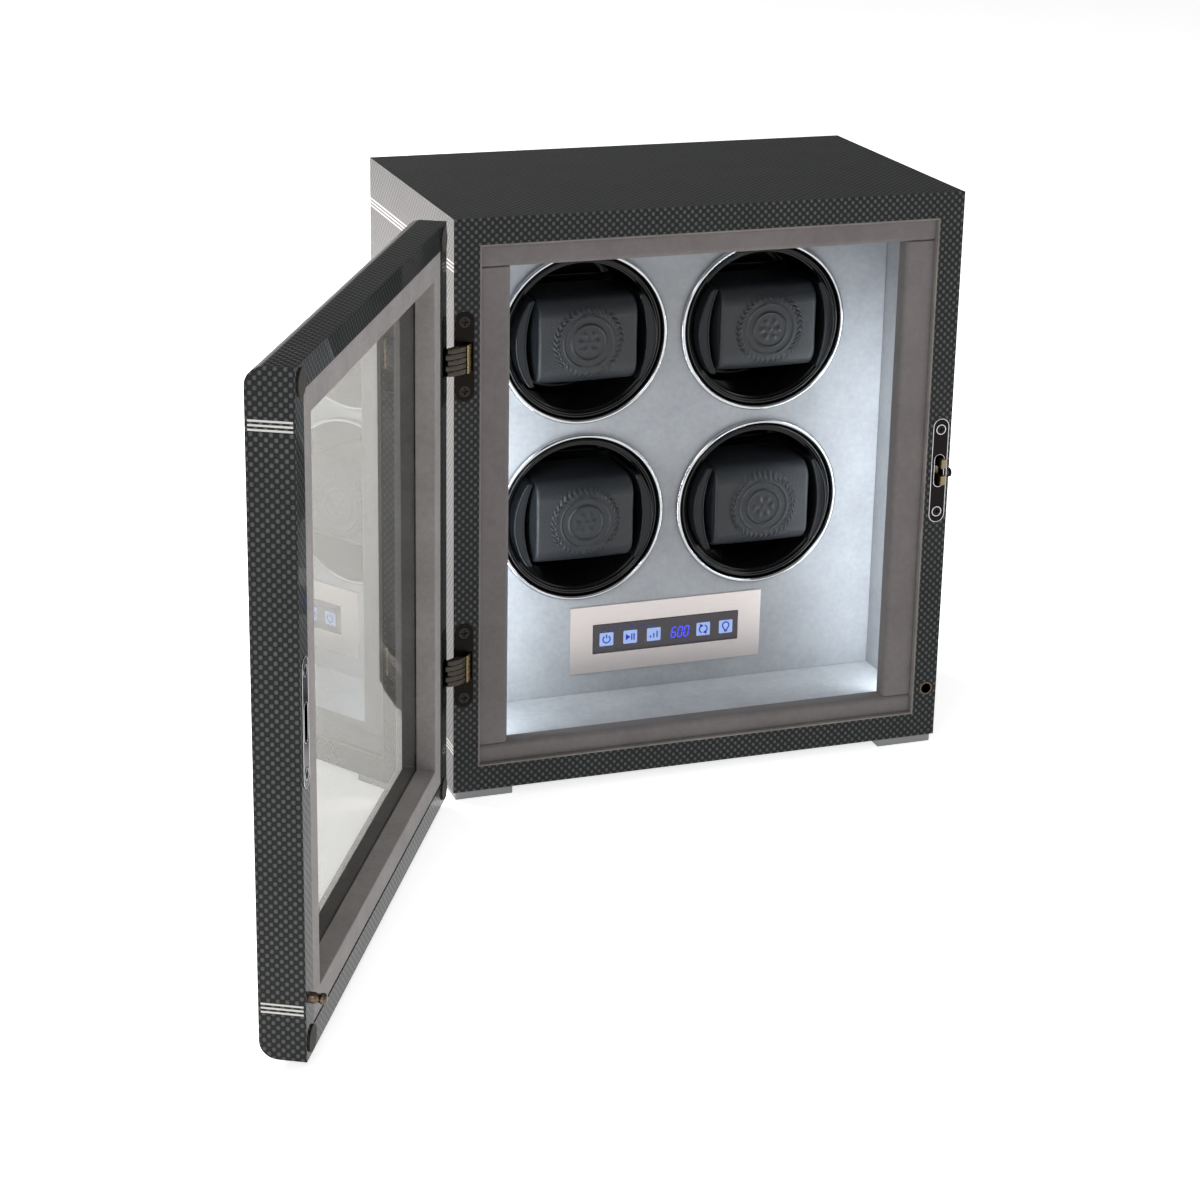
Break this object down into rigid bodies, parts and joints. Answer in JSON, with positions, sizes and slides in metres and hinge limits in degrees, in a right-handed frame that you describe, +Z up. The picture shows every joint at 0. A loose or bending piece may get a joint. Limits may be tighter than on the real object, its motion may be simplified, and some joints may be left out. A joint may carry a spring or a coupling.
{
  "type": "watch winder box",
  "caption": "Glazed display cabinet with turning watch cups, removable cushions, a swing door on concealed hinges and a push lock.",
  "frame": {"origin": "middle of the cabinet's footprint at the level of the shelf, the door not counted", "axes": "+Z up, the door side and display look to -Y, +X to the right as one faces the display"},
  "size_m": [0.4574, 0.4308, 0.325],
  "materials": {
    "lacquer": "high-gloss clear lacquer over a black checked weave, on board",
    "foot_pad": "satin silver-grey pads",
    "cover_board": "plain black hardboard",
    "dark_steel": "blackened steel screws",
    "socket_plastic": "black moulded",
    "lip_suede": "light grey microsuede",
    "suede": "taupe-grey microsuede",
    "light_strip": "cool white light strip",
    "lining_suede": "cool light grey microsuede",
    "bezel_chrome": "polished",
    "cup_black": "gloss black moulded",
    "motor_steel": "plain zinc-plated",
    "plate_metal": "fine satin, warm",
    "window_dark": "smoked acrylic",
    "circuit_board": "green board",
    "black_nickel": "black nickel, polished",
    "keeper_nickel": "bright nickel",
    "brass": "plain turned and stamped",
    "pin_bronze": "dull bronze",
    "hinge_bronze": "dark bronze plating",
    "glass": "clear float glass with polished edges",
    "felt": "dark felt",
    "cradle_plastic": "dark gloss moulded",
    "leather": "dark slate smooth leather"
  },
  "bodies": {
    "cabinet": {"top_board": "lacquer", "bottom_board": "lacquer", "left_board": "lacquer", "right_board": "lacquer", "feet": "foot_pad", "back_cover": "cover_board", "back_screws": "dark_steel", "power_socket": "socket_plastic", "opening_lip": "lip_suede", "frame_top_rail": "suede", "frame_bottom_rail": "suede", "frame_stiles": "suede", "led_strips": "light_strip", "side_liners": "lining_suede", "floor_pad": "lining_suede", "ceiling_pad": "lining_suede", "winder_panel": "lining_suede", "bezel_rings": "bezel_chrome", "cup_housings": "cup_black", "gearmotors": "motor_steel", "control_plate": "plate_metal", "display_window": "window_dark", "control_board": "circuit_board", "strike_plate": "black_nickel", "strike_screws": "motor_steel", "lock_case": "brass", "guide_bush": "brass", "hinge_cups": "hinge_bronze", "hinge_screws": "dark_steel"},
    "door": {"door_top_rail": "lacquer", "door_bottom_rail": "lacquer", "door_hinge_stile": "lacquer", "door_free_stile": "lacquer", "door_glass": "glass", "door_reveal": "suede", "keeper_plate": "keeper_nickel", "keeper_screws": "motor_steel", "guide_pin": "pin_bronze", "door_bumpers": "felt", "door_hinge_cups": "hinge_bronze", "door_hinge_screws": "dark_steel"},
    "hinge_link": {"hinge_links": "hinge_bronze"},
    "release_button": {"lock_button": "black_nickel"},
    "catch": {"lock_catch": "brass"},
    "rotor_top_left": {"cup_top_left": "cup_black", "shaft_top_left": "motor_steel"},
    "holder_top_left": {"cradle_top_left": "cradle_plastic", "cushion_top_left": "leather"},
    "rotor_top_right": {"cup_top_right": "cup_black", "shaft_top_right": "motor_steel"},
    "holder_top_right": {"cradle_top_right": "cradle_plastic", "cushion_top_right": "leather"},
    "rotor_low_left": {"cup_low_left": "cup_black", "shaft_low_left": "motor_steel"},
    "holder_low_left": {"cradle_low_left": "cradle_plastic", "cushion_low_left": "leather"},
    "rotor_low_right": {"cup_low_right": "cup_black", "shaft_low_right": "motor_steel"},
    "holder_low_right": {"cradle_low_right": "cradle_plastic", "cushion_low_right": "leather"}
  },
  "joints": [
    {"name": "door_hinge", "type": "hinge", "parent": "cabinet", "child": "door", "pos_m": [-0.1475, -0.08626, 0.165], "axis": [0, 0, -1], "range_deg": [-118.3, 0]},
    {"name": "link_turn", "type": "hinge", "parent": "cabinet", "child": "hinge_link", "pos_m": [-0.1475, -0.08626, 0.165], "axis": [0, 0, -1], "range_deg": [-59.2, 0]},
    {"name": "button_push", "type": "slide", "parent": "cabinet", "child": "release_button", "axis": [-1, 0, 0], "range_m": [0, 0.0018], "stiffness_N_per_m": 250},
    {"name": "catch_shift", "type": "slide", "parent": "cabinet", "child": "catch", "axis": [-1, 0, 0], "range_m": [0, 0.0018]},
    {"name": "spin_top_left", "type": "hinge", "parent": "cabinet", "child": "rotor_top_left", "pos_m": [-0.0535, -0.025, 0.2411], "axis": [0, 1, 0], "continuous": true},
    {"name": "pull_top_left", "type": "slide", "parent": "rotor_top_left", "child": "holder_top_left", "axis": [0, -1, 0], "range_m": [0, 0.045]},
    {"name": "spin_top_right", "type": "hinge", "parent": "cabinet", "child": "rotor_top_right", "pos_m": [0.0535, -0.025, 0.2411], "axis": [0, 1, 0], "continuous": true},
    {"name": "pull_top_right", "type": "slide", "parent": "rotor_top_right", "child": "holder_top_right", "axis": [0, -1, 0], "range_m": [0, 0.045]},
    {"name": "spin_low_left", "type": "hinge", "parent": "cabinet", "child": "rotor_low_left", "pos_m": [-0.0535, -0.025, 0.1367], "axis": [0, 1, 0], "continuous": true},
    {"name": "pull_low_left", "type": "slide", "parent": "rotor_low_left", "child": "holder_low_left", "axis": [0, -1, 0], "range_m": [0, 0.045]},
    {"name": "spin_low_right", "type": "hinge", "parent": "cabinet", "child": "rotor_low_right", "pos_m": [0.0535, -0.025, 0.1367], "axis": [0, 1, 0], "continuous": true},
    {"name": "pull_low_right", "type": "slide", "parent": "rotor_low_right", "child": "holder_low_right", "axis": [0, -1, 0], "range_m": [0, 0.045]}
  ],
  "couplings": [
    {"joint": "link_turn", "follows": "door_hinge", "ratio": 0.5},
    {"joint": "catch_shift", "follows": "button_push", "ratio": 1}
  ]
}
